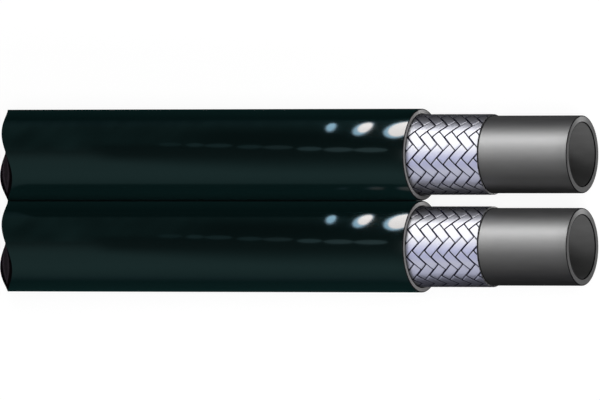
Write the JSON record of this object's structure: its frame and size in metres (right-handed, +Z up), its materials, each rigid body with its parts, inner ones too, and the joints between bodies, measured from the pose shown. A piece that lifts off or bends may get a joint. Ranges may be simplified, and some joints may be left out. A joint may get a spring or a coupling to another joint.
{
  "type": "twin hydraulic hose",
  "caption": "Twin-line hydraulic hose stub cut back in steps: in each hose an inner tube, a braid of flat wire strands and a glossy cover, bonded side by side.",
  "frame": {"origin": "middle of the outline, on the surface that the two hoses lie on", "axes": "+X along the hoses towards the stepped end, +Y from hose b to hose a, +Z up, across the thin side of the pair"},
  "size_m": [0.1339, 0.0368, 0.0184],
  "materials": {
    "inner_tube": "smooth satin dark grey tube stock",
    "braid_wire": "bright flat bundles of fine wire",
    "cover": "smooth glossy black with a green tint",
    "bond": "black adhesive in the valley"
  },
  "bodies": {
    "root": {"inner_tube_a": "inner_tube", "inner_tube_b": "inner_tube", "covered_braid_a": "braid_wire", "covered_braid_b": "braid_wire", "left_hand_strands_a": "braid_wire", "left_hand_strands_b": "braid_wire", "right_hand_strands_a": "braid_wire", "right_hand_strands_b": "braid_wire", "cover_a": "cover", "cover_b": "cover", "bond_web": "bond"}
  },
  "joints": []
}
